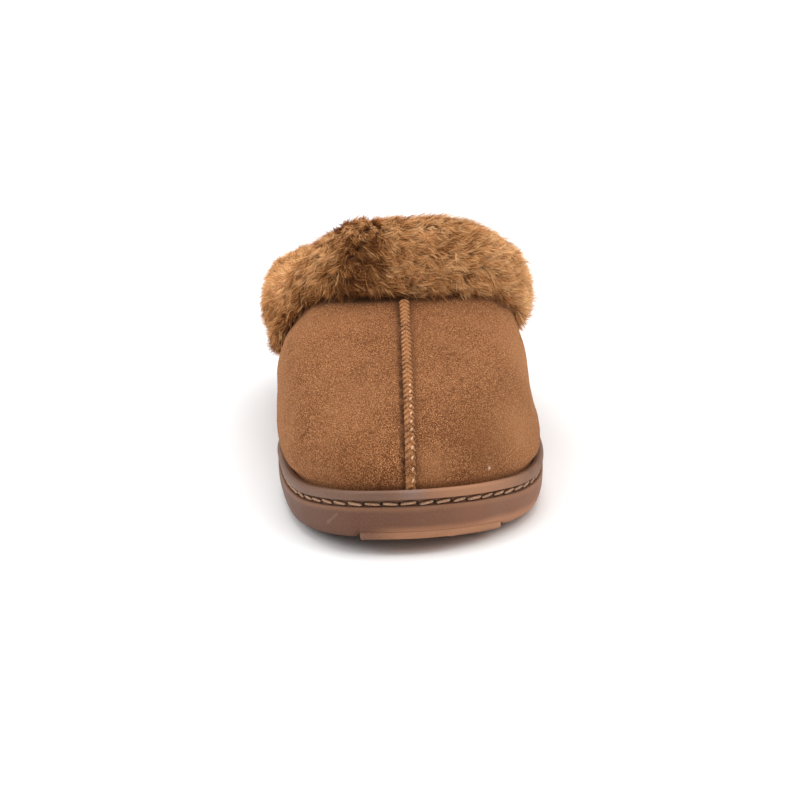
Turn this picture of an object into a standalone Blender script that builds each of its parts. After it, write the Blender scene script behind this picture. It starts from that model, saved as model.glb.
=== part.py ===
"""A left clog slipper: suede upper with a raised centre seam, a deep fur collar, a
plush insole and a stitched cup sole on gum rubber treads.

The toe points to -Y, the heel to +Y, the big-toe side to -X, and the floor is z = 0.
Every piece is lofted around one loop of stations that starts at the heel, runs along
the inner side to the toe and comes back along the outer side.
"""

import math
import random

import bmesh
import bpy
import numpy as np

# Driving sizes in metres.
SOLE_LENGTH = 0.264
BALL_WIDTH = 0.104
TOE_SPRING = 0.007
ARCH_RISE = 0.003
FOREFOOT_HEIGHT = 0.0195
HEEL_HEIGHT = 0.0290
INSTEP_HEIGHT = 0.0765
UPPER_WALL = 0.0026
UPPER_BULGE = 0.0050
LIP_WIDTH = 0.0038
LIP_HEIGHT = 0.0036
LIP_ROUND = 0.0008
CUP_DEPTH = 0.0070
GROOVE_HEIGHT = 0.0028
GROOVE_DEPTH = 0.0020
GROOVE_SLOPE = 0.0003
WALL_TUCK = 0.0042
WALL_TURN = 0.0070
INSOLE_THICKNESS = 0.0065
INSOLE_ROUND = 0.0020
INSOLE_HOLLOW = 0.0008
EDGE_LIFT = 0.0011
SEAT_DEPTH = 0.0031
SEAT_INSET = 0.0075
TREAD_RELIEF = 0.0014
TREAD_BAR = 0.0075
TREAD_GROOVE = 0.0040
TREAD_SLOPE = 0.0006
TOE_TREAD_ROUND = 0.0010
TOE_TREAD_REACH = 0.0130
NOTCH_WIDTH = 0.0028
COLLAR_STAND = 0.0080
FUR_OUT = 0.0090
FUR_IN = 0.0100
FUR_TOP = 0.0115
FUR_LIP = 0.0040
FUR_TUCK = 0.0035
LOCK_LENGTH = 0.0050
LOCK_PITCH = 0.0085
SEAM_WIDTH = 0.0046
SEAM_HEIGHT = 0.0022
STITCH_PITCH = 0.0042
STITCH_WAIST = 0.84
FIT_GAP = 0.0003

# Steps from heel to toe on one side of the loop, up a rib and round the seam's cord,
# the shares of a rib that its normals and the fur's hang are worked out with, and the
# seed of the locks.
SIDE_STEPS = 32
RIB_STEPS = 9
CORD_STEPS = 6
NORMAL_STEP = 0.02
HANG_STEP = 0.01
MOST_HANG = 0.7
LOCK_SEED = 7

# Sole outline from the heel: share of the length, and the inner and outer
# half-widths as shares of the ball width.
OUTLINE = (
    # along, inner, outer
    (0.034, 0.222, 0.222),
    (0.091, 0.317, 0.320),
    (0.186, 0.370, 0.377),
    (0.318, 0.382, 0.404),
    (0.451, 0.412, 0.452),
    (0.583, 0.466, 0.492),
    (0.689, 0.498, 0.506),
    (0.780, 0.490, 0.486),
    (0.860, 0.458, 0.424),
    (0.924, 0.394, 0.310),
    (0.970, 0.308, 0.180),
    (0.992, 0.208, 0.055),
)
# The toe's foremost point lies toward the big toe.
TOE_ACROSS = -0.050

# Sole from the side: share of the length, rise of the underside for the toe spring
# and for the arch, and the height over the underside from forefoot (0) to heel (1).
SOLE_PROFILE = (
    # along, spring, arch, heel
    (0.00, 0.20, 0.0, 1.00),
    (0.04, 0.02, 0.0, 1.00),
    (0.08, 0.00, 0.0, 0.98),
    (0.28, 0.00, 0.0, 0.82),
    (0.40, 0.00, 1.0, 0.52),
    (0.52, 0.00, 0.0, 0.18),
    (0.62, 0.00, 0.0, 0.03),
    (0.72, 0.00, 0.0, 0.00),
    (0.80, 0.04, 0.0, 0.00),
    (0.88, 0.22, 0.0, 0.00),
    (0.95, 0.64, 0.0, 0.00),
    (1.00, 1.00, 0.0, 0.00),
)

# Collar edge of the upper from its back (0) to its front (1): half-widths as shares
# of the ball width, height as a share of the instep height, and how far the fur
# hangs down the wall on each side, as shares of the collar's stand.
COLLAR_BACK_SHARE = 0.030
COLLAR_FRONT_SHARE = 0.606
COLLAR_FAN = 1.8
COLLAR = (
    # share, inner, outer, height, inner hang, outer hang
    (0.00, 0.000, 0.000, 0.53, 0.6, 0.6),
    (0.05, 0.190, 0.195, 0.53, 0.6, 0.6),
    (0.18, 0.320, 0.330, 0.55, 0.8, 0.8),
    (0.40, 0.374, 0.400, 0.60, 1.3, 1.2),
    (0.62, 0.388, 0.430, 0.65, 1.7, 1.4),
    (0.80, 0.384, 0.434, 0.73, 2.1, 1.4),
    (0.90, 0.374, 0.416, 0.85, 1.5, 1.1),
    (0.96, 0.338, 0.350, 0.94, 0.9, 0.8),
    (0.99, 0.240, 0.240, 0.99, 0.6, 0.6),
    (1.00, -0.006, 0.006, 1.00, 0.6, 0.6),
)

# Ribs of the upper by where they leave the sole: height of their shoulder as a share
# of the rise to the collar, outward lean on the inner and the outer side as shares
# of the bulge, and squareness.
RIBS = (
    # along, shoulder, inner lean, outer lean, squareness
    (0.00, 0.80, 0.30, 0.30, 2.3),
    (0.20, 0.80, 0.50, 0.40, 2.4),
    (0.42, 0.87, 1.00, 0.50, 3.0),
    (0.60, 0.91, 1.35, 0.15, 3.4),
    (0.72, 0.84, 1.40, 0.00, 3.3),
    (0.83, 0.68, 1.30, 0.10, 2.9),
    (0.92, 0.54, 0.90, 0.45, 2.7),
    (1.00, 0.46, 0.60, 0.60, 2.6),
)

# Fur roll around the collar, from its back (0) to its front (1): its reach outward,
# inward, and above the collar's stand on each side, as shares of the fur's own sizes.
FUR_ROLL = (
    # share, out, in, inner top, outer top
    (0.00, 0.90, 0.90, 0.90, 0.90),
    (0.40, 0.95, 1.05, 0.82, 1.12),
    (0.75, 0.85, 1.20, 0.54, 1.32),
    (0.90, 0.80, 1.35, 0.70, 1.38),
    (0.97, 0.90, 1.60, 1.15, 1.50),
    (1.00, 0.95, 1.80, 1.75, 1.75),
)

# Fur section around the collar's stand: outward share of the fur's depth (negative
# is inward), and height as a share of the fur's top (above) or drop (below).
FUR_SECTION = (
    # out, up
    (0.82, -0.70),
    (1.00, -0.25),
    (0.98, 0.25),
    (0.72, 0.72),
    (0.22, 1.00),
    (-0.35, 0.98),
    (-0.85, 0.62),
    (-1.00, 0.05),
    (-0.86, -0.45),
)

# Side wall from its foot (0) to where it stands plumb (1): how far it is tucked in, as
# a share of the tuck, and its rise, as a share of the turn.
WALL = (
    # tuck, rise
    (1.00, 0.00),
    (0.56, 0.17),
    (0.30, 0.51),
    (0.13, 1.00),
)

# Insole from its edge inward: distance and fall, as shares of the insole's round.
INSOLE_EDGE = (
    # in, fall
    (0.0, 1.00),
    (0.8, 0.15),
    (3.0, 0.00),
)

# Ends of the treads as shares of the length: the toe tread's on the inner and outer
# side, the forefoot tread's back and the heel tread's front.
TOE_TREAD_INNER_SHARE = 0.983
TOE_TREAD_OUTER_SHARE = 0.918
FOREFOOT_BACK_SHARE = 0.53
HEEL_FRONT_SHARE = 0.28


def table_value(rows, column, at, angular=False):
    """One column of a table at any share, along a monotone cubic curve."""
    data = np.array(rows, float)
    knots, values = data[:, 0], data[:, column]
    if angular:
        knots, at = share_angle(knots), share_angle(at)
    steps = np.diff(knots)
    slopes = np.diff(values) / steps
    tangents = np.zeros(len(knots))
    tangents[0], tangents[-1] = slopes[0], slopes[-1]
    for i in range(1, len(knots) - 1):
        if slopes[i - 1] * slopes[i] > 0:
            tangents[i] = 2 / (1 / slopes[i - 1] + 1 / slopes[i])
    i = int(np.clip(np.searchsorted(knots, at) - 1, 0, len(steps) - 1))
    t = float(np.clip((at - knots[i]) / steps[i], 0, 1))
    rise = values[i + 1] - values[i]
    start, end = tangents[i] * steps[i], tangents[i + 1] * steps[i]
    return values[i] + start * t + (3 * rise - 2 * start - end) * t**2 + (start + end - 2 * rise) * t**3


def share_angle(share):
    """Angle that runs from 0 to pi as the share runs from 0 to 1, round at both ends."""
    return np.arccos(1 - 2 * np.clip(share, 0, 1))


def angle_share(angle):
    return (1 - math.cos(angle)) / 2


def stations():
    """Angles from heel to toe, with a close pair at each end of the toe tread."""
    angles = [math.pi * i / SIDE_STEPS for i in range(SIDE_STEPS + 1)]
    half = NOTCH_WIDTH / BALL_WIDTH * 2
    for end in (TOE_TREAD_INNER_SHARE, TOE_TREAD_OUTER_SHARE):
        middle = float(share_angle(end))
        angles = [a for a in angles if abs(a - middle) > half]
        angles += [middle - half / 2, middle + half / 2]
    return sorted(angles)


ANGLES = stations()
TOE = len(ANGLES) - 1
AROUND = 2 * TOE


def side_of(k):
    """Station angle and side of the loop's point k: 1 is the inner column, 2 the outer."""
    return (ANGLES[k], 1) if k <= TOE else (ANGLES[AROUND - k], 2)


def length_y(share):
    return SOLE_LENGTH * (0.5 - share)


def y_share(y):
    return 0.5 - y / SOLE_LENGTH


def outline_point(k):
    angle, column = side_of(k)
    rows = ((0.0, 0.0, 0.0), *OUTLINE, (1.0, -TOE_ACROSS, TOE_ACROSS))
    across = table_value(rows, column, angle_share(angle), angular=True)
    sign = -1 if column == 1 else 1
    return np.array([sign * across * BALL_WIDTH, length_y(angle_share(angle))])


def inward_normals(loop):
    """Unit normals to the inside of a closed plan loop."""
    tangents = np.roll(loop, -1, axis=0) - np.roll(loop, 1, axis=0)
    tangents /= np.linalg.norm(tangents, axis=1)[:, None]
    return np.stack([-tangents[:, 1], tangents[:, 0]], axis=1)


OUTLINE_LOOP = np.array([outline_point(k) for k in range(AROUND)])
OUTLINE_INWARD = inward_normals(OUTLINE_LOOP)


def inset_loop(inset):
    """The sole's outline, moved in by one inset or by one for each point."""
    return OUTLINE_LOOP + OUTLINE_INWARD * np.broadcast_to(inset, (AROUND,))[:, None]


def underside(y):
    share = y_share(y)
    spring = table_value(SOLE_PROFILE, 1, share) * TOE_SPRING
    return spring + table_value(SOLE_PROFILE, 2, share) * ARCH_RISE


def brim(y):
    """Top of the sole's lip."""
    share = y_share(y)
    spring = table_value(SOLE_PROFILE, 1, share) * TOE_SPRING
    heel = table_value(SOLE_PROFILE, 3, share)
    return spring + FOREFOOT_HEIGHT + heel * (HEEL_HEIGHT - FOREFOOT_HEIGHT)


def cup_floor(y):
    return brim(y) - CUP_DEPTH


def raised(loop, height, offset=0.0):
    """Plan points lifted to a height function of their own y."""
    offsets = np.broadcast_to(offset, (len(loop),))
    return [(x, y, height(y) + add) for (x, y), add in zip(loop, offsets)]


def loft(name, rings, caps="ladder"):
    """A mesh through closed rings of equal length, its ends closed station by station."""
    mesh = bmesh.new()
    made = [[mesh.verts.new(point) for point in ring] for ring in rings]
    count = len(made[0])
    for lower, upper in zip(made, made[1:]):
        for k in range(count):
            after = (k + 1) % count
            mesh.faces.new((lower[k], lower[after], upper[after], upper[k]))
    if caps == "ladder":
        for ring in (made[0], made[-1]):
            fill_ladder(mesh, ring)
    if caps == "wrap":
        for k in range(count):
            after = (k + 1) % count
            mesh.faces.new((made[-1][k], made[-1][after], made[0][after], made[0][k]))
    return finish(name, mesh)


def fill_ladder(mesh, ring):
    """Closes a loop with strips that join the inner side to the outer side."""
    count = len(ring)
    for k in range(count // 2):
        corners = [ring[k], ring[k + 1], ring[count - k - 1], ring[-k]]
        mesh.faces.new([v for i, v in enumerate(corners) if v not in corners[:i]])


def finish(name, mesh):
    """Turns a bmesh into a shaded object of the slipper's collection."""
    bmesh.ops.recalc_face_normals(mesh, faces=mesh.faces)
    data = bpy.data.meshes.new(name)
    mesh.to_mesh(data)
    mesh.free()
    data.shade_smooth()
    data.set_sharp_from_angle(angle=math.radians(38))
    made = bpy.data.objects.new(name, data)
    SLIPPER.objects.link(made)
    return made


def paint(made, name, colour, roughness):
    material = bpy.data.materials.get(name) or bpy.data.materials.new(name)
    material.use_nodes = True
    shader = material.node_tree.nodes["Principled BSDF"]
    shader.inputs["Base Color"].default_value = (*colour, 1)
    shader.inputs["Roughness"].default_value = roughness
    shader.inputs["Metallic"].default_value = 0.0
    made.data.materials.append(material)


# Sole: a cup with a stitch groove under its lip and seats for the treads below.


def toe_tread_span():
    """Points of the loop between the two notches that end the toe tread."""
    inner = float(share_angle(TOE_TREAD_INNER_SHARE))
    outer = float(share_angle(TOE_TREAD_OUTER_SHARE))
    first = next(k for k in range(TOE + 1) if ANGLES[k] > inner)
    last = AROUND - next(k for k in range(TOE + 1) if ANGLES[k] > outer)
    return list(range(first, last + 1))


def wall_inset(tuck):
    """Inset of the side wall, which stands plumb over the toe tread."""
    inset = np.full(AROUND, tuck * WALL_TUCK)
    inset[toe_tread_span()] = np.minimum(tuck, WALL[1][0]) * WALL_TUCK
    return inset


def build_sole():
    edge = np.full(AROUND, EDGE_LIFT)
    edge[toe_tread_span()] = SEAT_DEPTH
    groove = LIP_HEIGHT + GROOVE_HEIGHT
    from_floor = [
        # inset, rise over the underside
        (SEAT_INSET + GROOVE_SLOPE, SEAT_DEPTH),
        (SEAT_INSET, edge),
    ]
    from_floor += [(wall_inset(tuck), edge + rise * WALL_TURN) for tuck, rise in WALL]
    from_brim = (
        # inset, rise over the brim
        (GROOVE_SLOPE, -groove),
        (GROOVE_DEPTH, -groove + GROOVE_SLOPE),
        (GROOVE_DEPTH, -LIP_HEIGHT - GROOVE_SLOPE),
        (GROOVE_SLOPE, -LIP_HEIGHT),
        (0.0, -LIP_HEIGHT / 2),
        (GROOVE_SLOPE, -LIP_ROUND),
        (LIP_ROUND + GROOVE_SLOPE, 0.0),
        (LIP_WIDTH - LIP_ROUND, 0.0),
        (LIP_WIDTH, -LIP_ROUND),
        (LIP_WIDTH, -CUP_DEPTH),
    )
    rings = [raised(inset_loop(inset), underside, rise) for inset, rise in from_floor]
    rings += [raised(inset_loop(inset), brim, rise) for inset, rise in from_brim]
    sole = loft("sole", rings)
    paint(sole, "Moulded sole", (0.200, 0.110, 0.066), 0.62)


# Treads: gum rubber, seated in the sole's underside.


def build_toe_tread():
    """The crescent that shows at the toe between its two notches."""
    span = toe_tread_span()
    face = WALL[1][0] * WALL_TUCK
    section = (
        # inset, rise over the underside
        (face, SEAT_DEPTH - FIT_GAP),
        (face, TOE_TREAD_ROUND),
        (face + TOE_TREAD_ROUND, 0.0),
        (TOE_TREAD_REACH, 0.0),
        (TOE_TREAD_REACH, SEAT_DEPTH - FIT_GAP),
    )
    loops = [inset_loop(inset)[span] for inset, _ in section]
    mesh = bmesh.new()
    rows = []
    for step in range(len(span)):
        row = []
        for loop, (_, rise) in zip(loops, section):
            x, y = loop[step]
            row.append(mesh.verts.new((x, y, underside(y) + rise)))
        rows.append(row)
    for row, after in zip(rows, rows[1:]):
        for i in range(len(section)):
            j = (i + 1) % len(section)
            mesh.faces.new((row[i], row[j], after[j], after[i]))
    mesh.faces.new(rows[0])
    mesh.faces.new(rows[-1])
    tread = finish("tread_toe", mesh)
    paint(tread, "Gum rubber", (0.440, 0.205, 0.090), 0.55)


def loop_width(inset, y):
    """Inner and outer x of the inset outline at one y."""
    loop = inset_loop(inset)
    inner, outer = loop[: TOE + 1], np.roll(loop, -TOE, axis=0)[: TOE + 1]
    low = np.interp(-y, -inner[:, 1], inner[:, 0])
    high = np.interp(-y, -outer[::-1, 1], outer[::-1, 0])
    return low, high


def build_bar_tread(name, start, end, width_inset):
    """A plate with bars across, between two shares of the length."""
    pitch = TREAD_BAR + TREAD_GROOVE
    bars = max(2, round(((end - start) * SOLE_LENGTH + TREAD_GROOVE) / pitch))
    pitch = ((end - start) * SOLE_LENGTH + TREAD_GROOVE) / bars
    bar = pitch - TREAD_GROOVE
    lines = []
    for i in range(bars):
        front = length_y(start) - i * pitch
        lines += [(front, 0.0), (front - bar, 0.0)]
        if i < bars - 1:
            lines.append((front - bar - TREAD_SLOPE, TREAD_RELIEF))
            lines.append((front - pitch + TREAD_SLOPE, TREAD_RELIEF))
    columns = (0.0, 0.25, 0.5, 0.75, 1.0)
    mesh = bmesh.new()
    lower, upper = [], []
    for y, relief in lines:
        low, high = loop_width(width_inset(y), y)
        across = [low + (high - low) * share for share in columns]
        lower.append([mesh.verts.new((x, y, underside(y) + relief)) for x in across])
        top = underside(y) + SEAT_DEPTH - FIT_GAP
        upper.append([mesh.verts.new((x, y, top)) for x in across])
    last = len(columns) - 1
    for i in range(len(lines) - 1):
        for c in range(last):
            mesh.faces.new((lower[i][c], lower[i][c + 1], lower[i + 1][c + 1], lower[i + 1][c]))
            mesh.faces.new((upper[i][c], upper[i + 1][c], upper[i + 1][c + 1], upper[i][c + 1]))
        for c in (0, last):
            mesh.faces.new((lower[i][c], lower[i + 1][c], upper[i + 1][c], upper[i][c]))
    for i in (0, -1):
        for c in range(last):
            mesh.faces.new((lower[i][c], lower[i][c + 1], upper[i][c + 1], upper[i][c]))
    tread = finish(name, mesh)
    paint(tread, "Gum rubber", (0.440, 0.205, 0.090), 0.55)


def build_bar_treads():
    side = SEAT_INSET + 2 * FIT_GAP
    behind_toe = TOE_TREAD_REACH + TREAD_GROOVE / 2
    shoulder = length_y(TOE_TREAD_OUTER_SHARE) + TOE_TREAD_REACH + TREAD_GROOVE

    def forefoot_inset(y):
        return behind_toe if y < shoulder else side

    front = 1 - (behind_toe + TREAD_BAR / 2) / SOLE_LENGTH
    back = (side + TREAD_BAR / 2) / SOLE_LENGTH
    build_bar_tread("tread_forefoot", FOREFOOT_BACK_SHARE, front, forefoot_inset)
    build_bar_tread("tread_heel", back, HEEL_FRONT_SHARE, lambda y: side)


# Insole: a padded footbed inside the upper, on the cup's floor.


def build_insole():
    side = LIP_WIDTH + UPPER_WALL + 2 * FIT_GAP
    rings = [(side, FIT_GAP)]
    for inward, fall in INSOLE_EDGE:
        rings.append((side + inward * INSOLE_ROUND, INSOLE_THICKNESS - fall * INSOLE_ROUND))
    rings.append((side + 2 * INSOLE_THICKNESS, INSOLE_THICKNESS - INSOLE_HOLLOW))
    insole = loft("insole", [raised(inset_loop(inset), cup_floor, rise) for inset, rise in rings])
    paint(insole, "Plush footbed", (0.420, 0.240, 0.120), 0.95)


# Upper: ribs from the cup's floor over a shoulder to the collar, then a short stand.


def collar_share(k):
    """Place around the collar, 0 at its back and 1 at its front, of the rib at k."""
    along = angle_share(side_of(k)[0])
    return 1 - (1 - along) ** COLLAR_FAN


def collar_point(k):
    share, column = collar_share(k), side_of(k)[1]
    across = table_value(COLLAR, column, share, angular=True) * BALL_WIDTH
    y = length_y(COLLAR_BACK_SHARE + (COLLAR_FRONT_SHARE - COLLAR_BACK_SHARE) * share)
    height = table_value(COLLAR, 3, share, angular=True) * INSTEP_HEIGHT
    return np.array([-across if column == 1 else across, y, height])


FOOT_LOOP = inset_loop(LIP_WIDTH + FIT_GAP)
COLLAR_LOOP = np.array([collar_point(k) for k in range(AROUND)])
COLLAR_OUTWARD = np.pad(-inward_normals(COLLAR_LOOP[:, :2]), ((0, 0), (0, 1)))


def upper_point(k, share):
    """Outer face of the upper at k, from the sole's brim (0) to the collar (1)."""
    along = angle_share(side_of(k)[0])
    shoulder, squareness = table_value(RIBS, 1, along), table_value(RIBS, 4, along)
    lean = table_value(RIBS, 1 + side_of(k)[1], along)
    x, y = FOOT_LOOP[k]
    foot = np.array([x, y, brim(y) + FIT_GAP])
    collar = COLLAR_LOOP[k]
    outward = np.append(-OUTLINE_INWARD[k], 0.0) * lean * UPPER_BULGE
    corner = foot + outward + np.array([0, 0, shoulder * (collar[2] - foot[2])])
    turn = math.pi / 2 * share
    rise = math.sin(turn) ** (2 / squareness)
    reach = 1 - math.cos(turn) ** (2 / squareness)
    return foot + (corner - foot) * rise + (collar - corner) * reach


def upper_normal(k, share):
    """Outward normal of the upper's outer face."""
    before, after = (k - 1) % AROUND, (k + 1) % AROUND
    around = upper_point(after, share) - upper_point(before, share)
    up = upper_point(k, min(share + NORMAL_STEP, 1.0)) - upper_point(k, share - NORMAL_STEP)
    normal = np.cross(around, up)
    return normal / np.linalg.norm(normal)


def build_upper():
    rings = [raised(FOOT_LOOP, cup_floor, FIT_GAP)]
    for step in range(RIB_STEPS + 1):
        rings.append([upper_point(k, step / RIB_STEPS) for k in range(AROUND)])
    rings.append(COLLAR_LOOP + (0, 0, COLLAR_STAND))
    upper = loft("upper", rings, caps=None)
    wall = upper.modifiers.new("Wall", "SOLIDIFY")
    wall.thickness = UPPER_WALL
    wall.offset = -1
    wall.use_even_offset = True
    paint(upper, "Suede", (0.330, 0.150, 0.062), 0.90)


# Centre seam: a raised cord along the front rib, from the lip to the fur.


def build_seam():
    first, last = NORMAL_STEP, 1 - hang_share(TOE) - FUR_LIP / INSTEP_HEIGHT / 2
    length = np.linalg.norm(upper_point(TOE, 1.0) - upper_point(TOE, 0.0))
    steps = round(length / STITCH_PITCH) * 2
    across = np.array([1.0, 0.0, 0.0])
    mesh = bmesh.new()
    made = []
    for step in range(steps + 1):
        share = first + (last - first) * step / steps
        normal = upper_normal(TOE, share)
        base = upper_point(TOE, share) + normal * FIT_GAP
        swell = 1.0 if step % 2 else STITCH_WAIST
        ring = []
        for turn in range(CORD_STEPS + 1):
            angle = math.pi * turn / CORD_STEPS
            out = across * math.cos(angle) * SEAM_WIDTH / 2 * swell
            ring.append(mesh.verts.new(base + out + normal * math.sin(angle) * SEAM_HEIGHT * swell))
        made.append(ring)
    for low, high in zip(made, made[1:]):
        for i in range(CORD_STEPS + 1):
            j = (i + 1) % (CORD_STEPS + 1)
            mesh.faces.new((low[i], low[j], high[j], high[i]))
    mesh.faces.new(made[0])
    mesh.faces.new(made[-1])
    seam = finish("center_seam", mesh)
    paint(seam, "Seam cord", (0.420, 0.215, 0.098), 0.85)


# Fur collar: a roll around the collar's stand, with locks drawn out of its faces.


def hang_share(k):
    """How far down the rib, as a share of it, the fur hangs below the collar edge."""
    hang = table_value(COLLAR, 3 + side_of(k)[1], collar_share(k), angular=True) * COLLAR_STAND
    edge = upper_point(k, 1.0)
    down = 0.0
    while down < MOST_HANG and np.linalg.norm(upper_point(k, 1 - down) - edge) < hang:
        down += HANG_STEP
    return down


def fur_ring(k):
    up = np.array([0.0, 0.0, 1.0])
    outward = COLLAR_OUTWARD[k]
    base = COLLAR_LOOP[k]
    edge = base + up * COLLAR_STAND
    low_share = 1.0 - hang_share(k)
    low, normal = upper_point(k, low_share), upper_normal(k, low_share)
    middle_share = 1.0 - hang_share(k) / 2
    middle = upper_point(k, middle_share) + upper_normal(k, middle_share) * 2 * FIT_GAP
    drop = edge[2] - low[2]
    inner = UPPER_WALL + 2 * FIT_GAP
    roll = [table_value(FUR_ROLL, column, collar_share(k)) for column in (1, 2, 2 + side_of(k)[1])]
    reach_out, reach_in, top = np.array(roll) * (FUR_OUT, FUR_IN, FUR_TOP)
    ring = [middle, low + normal * 2 * FIT_GAP, low + normal * FUR_LIP]
    for out, rise in FUR_SECTION:
        depth = reach_out if out > 0 else reach_in
        height = top if rise > 0 else (drop if out > 0 else COLLAR_STAND)
        ring.append(edge + outward * out * depth + up * rise * height)
    ring.append(base - outward * (inner + FUR_TUCK) - up * 3 * FIT_GAP)
    ring.append(base - outward * inner + up * 3 * FIT_GAP)
    ring.append(edge - outward * inner + up * 2 * FIT_GAP)
    ring.append(edge + outward * 2 * FIT_GAP + up * 2 * FIT_GAP)
    ring.append(base + outward * 2 * FIT_GAP + up * 3 * FIT_GAP)
    return ring


def build_fur():
    sections = np.array([fur_ring(k) for k in range(AROUND)])
    rings = np.swapaxes(sections, 0, 1)
    fur = loft("fur_collar", rings, caps="wrap")
    draw_locks(fur)
    paint(fur, "Fur", (0.460, 0.245, 0.105), 0.95)


def lock_faces(mesh):
    """Free faces of the roll, one about every lock pitch along each of its rows."""
    chance = random.Random(LOCK_SEED)
    first_row, rows = 3, 8
    chosen = []
    for row in range(first_row, first_row + rows):
        run = LOCK_PITCH * chance.random()
        for k in range(AROUND):
            face = mesh.faces[row * AROUND + k]
            run += (face.verts[0].co - face.verts[1].co).length
            if run > LOCK_PITCH * 1.5:
                chosen.append(face)
                run = LOCK_PITCH * chance.uniform(-0.2, 0.3)
    return chosen


def draw_locks(fur):
    """Draws tapered, drooping locks out of the roll's free faces."""
    chance = random.Random(LOCK_SEED + 1)
    mesh = bmesh.new()
    mesh.from_mesh(fur.data)
    mesh.faces.ensure_lookup_table()
    chosen = lock_faces(mesh)
    normals = [face.normal.copy() for face in chosen]
    locks = bmesh.ops.extrude_discrete_faces(mesh, faces=chosen)["faces"]
    for face, normal in zip(locks, normals):
        length = LOCK_LENGTH * chance.uniform(0.6, 1.0)
        centre = face.calc_center_median()
        for vert in face.verts:
            vert.co = centre + (vert.co - centre) * 0.30 + normal * length
            vert.co.x += length * chance.uniform(-0.15, 0.15)
            vert.co.z -= length * 0.35
    mesh.to_mesh(fur.data)
    mesh.free()


def centre_on_floor():
    """Moves every mesh so that the origin is under the middle of the slipper."""
    meshes = [made.data for made in SLIPPER.objects]
    corners = np.array([tuple(vert.co) for data in meshes for vert in data.vertices])
    low, high = corners.min(axis=0), corners.max(axis=0)
    shift = -(low + high) / 2
    for data in meshes:
        for vert in data.vertices:
            vert.co.x += shift[0]
            vert.co.y += shift[1]
            vert.co.z -= low[2]


for old in list(bpy.data.objects):
    bpy.data.objects.remove(old, do_unlink=True)
SLIPPER = bpy.data.collections.new("Clog slipper")
bpy.context.scene.collection.children.link(SLIPPER)

build_sole()
build_toe_tread()
build_bar_treads()
build_insole()
build_upper()
build_seam()
build_fur()
centre_on_floor()
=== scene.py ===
"""The looks of the clog slipper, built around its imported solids, in metres."""

import math

import bmesh
import bpy
import numpy as np
from mathutils import Matrix, Quaternion, Vector, noise
from mathutils.bvhtree import BVHTree
from mathutils.kdtree import KDTree


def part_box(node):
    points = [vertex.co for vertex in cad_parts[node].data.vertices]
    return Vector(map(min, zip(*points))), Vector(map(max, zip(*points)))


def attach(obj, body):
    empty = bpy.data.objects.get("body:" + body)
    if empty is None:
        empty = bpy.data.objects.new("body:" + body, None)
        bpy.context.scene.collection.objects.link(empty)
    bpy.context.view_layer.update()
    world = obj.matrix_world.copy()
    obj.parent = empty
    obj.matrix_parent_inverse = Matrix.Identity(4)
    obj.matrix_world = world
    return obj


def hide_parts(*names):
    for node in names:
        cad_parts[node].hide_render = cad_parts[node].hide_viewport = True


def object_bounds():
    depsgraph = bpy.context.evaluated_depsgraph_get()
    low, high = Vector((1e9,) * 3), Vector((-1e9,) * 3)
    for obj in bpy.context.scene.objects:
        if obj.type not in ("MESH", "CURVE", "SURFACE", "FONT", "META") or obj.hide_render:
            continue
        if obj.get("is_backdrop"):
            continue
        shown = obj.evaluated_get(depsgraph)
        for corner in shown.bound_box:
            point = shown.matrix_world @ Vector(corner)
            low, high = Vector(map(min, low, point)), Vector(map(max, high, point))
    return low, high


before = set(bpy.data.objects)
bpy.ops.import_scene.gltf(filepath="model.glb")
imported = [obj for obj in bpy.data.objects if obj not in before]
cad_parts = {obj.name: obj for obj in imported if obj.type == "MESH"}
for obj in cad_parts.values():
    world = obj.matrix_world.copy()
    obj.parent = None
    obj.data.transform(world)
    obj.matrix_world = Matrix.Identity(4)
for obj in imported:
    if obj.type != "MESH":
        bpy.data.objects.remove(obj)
cad_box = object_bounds()
sole_low, sole_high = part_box("sole")

# Camera.
# It stands a metre and a half in front of the toe, a little to the big-toe side and
# above, looks just over the toe, and leans by one degree.
CAMERA_DISTANCE = 1.5
CAMERA_AZIMUTH = math.radians(-4)
CAMERA_ELEVATION = math.radians(17)
CAMERA_ROLL = math.radians(-1)
SENSOR_WIDTH = 36
LENS = 180
AIM_ASIDE = -0.0082
AIM_BACK = 0.0156
AIM_HEIGHT = 0.0573

aim = Vector(((sole_low.x + sole_high.x) / 2 + AIM_ASIDE, sole_low.y + AIM_BACK, AIM_HEIGHT))
back = Vector((
    math.sin(CAMERA_AZIMUTH) * math.cos(CAMERA_ELEVATION),
    -math.cos(CAMERA_AZIMUTH) * math.cos(CAMERA_ELEVATION),
    math.sin(CAMERA_ELEVATION),
))
camera_data = bpy.data.cameras.new("camera")
camera_data.sensor_width = SENSOR_WIDTH
camera_data.lens = LENS
camera = bpy.data.objects.new("camera", camera_data)
camera.location = aim + back * CAMERA_DISTANCE
look = (-back).to_track_quat("-Z", "Y") @ Quaternion((0, 0, 1), CAMERA_ROLL)
camera.rotation_euler = look.to_euler()
bpy.context.scene.collection.objects.link(camera)
bpy.context.scene.camera = camera
bpy.context.scene.view_settings.view_transform = "Standard"


# Floor and studio light.
# A plain white sweep under a bright tent, with a large lamp overhead and a weaker one
# on each side.
FLOOR_SIZE = 4.0
FLOOR_WHITE = (0.93, 0.93, 0.93)
TENT_STRENGTH = 0.55
LAMPS = (
    # name, place, size, power, colour
    ("lamp_right", (1.3, -0.3, 1.1), 1.2, 9, (1, 0.98, 0.95)),
    ("lamp_left", (-1.3, -0.3, 1.1), 1.2, 9.5, (0.99, 0.99, 1)),
    ("lamp_top", (0.0, 0.1, 1.6), 1.4, 20, (1, 1, 1)),
)


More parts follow.
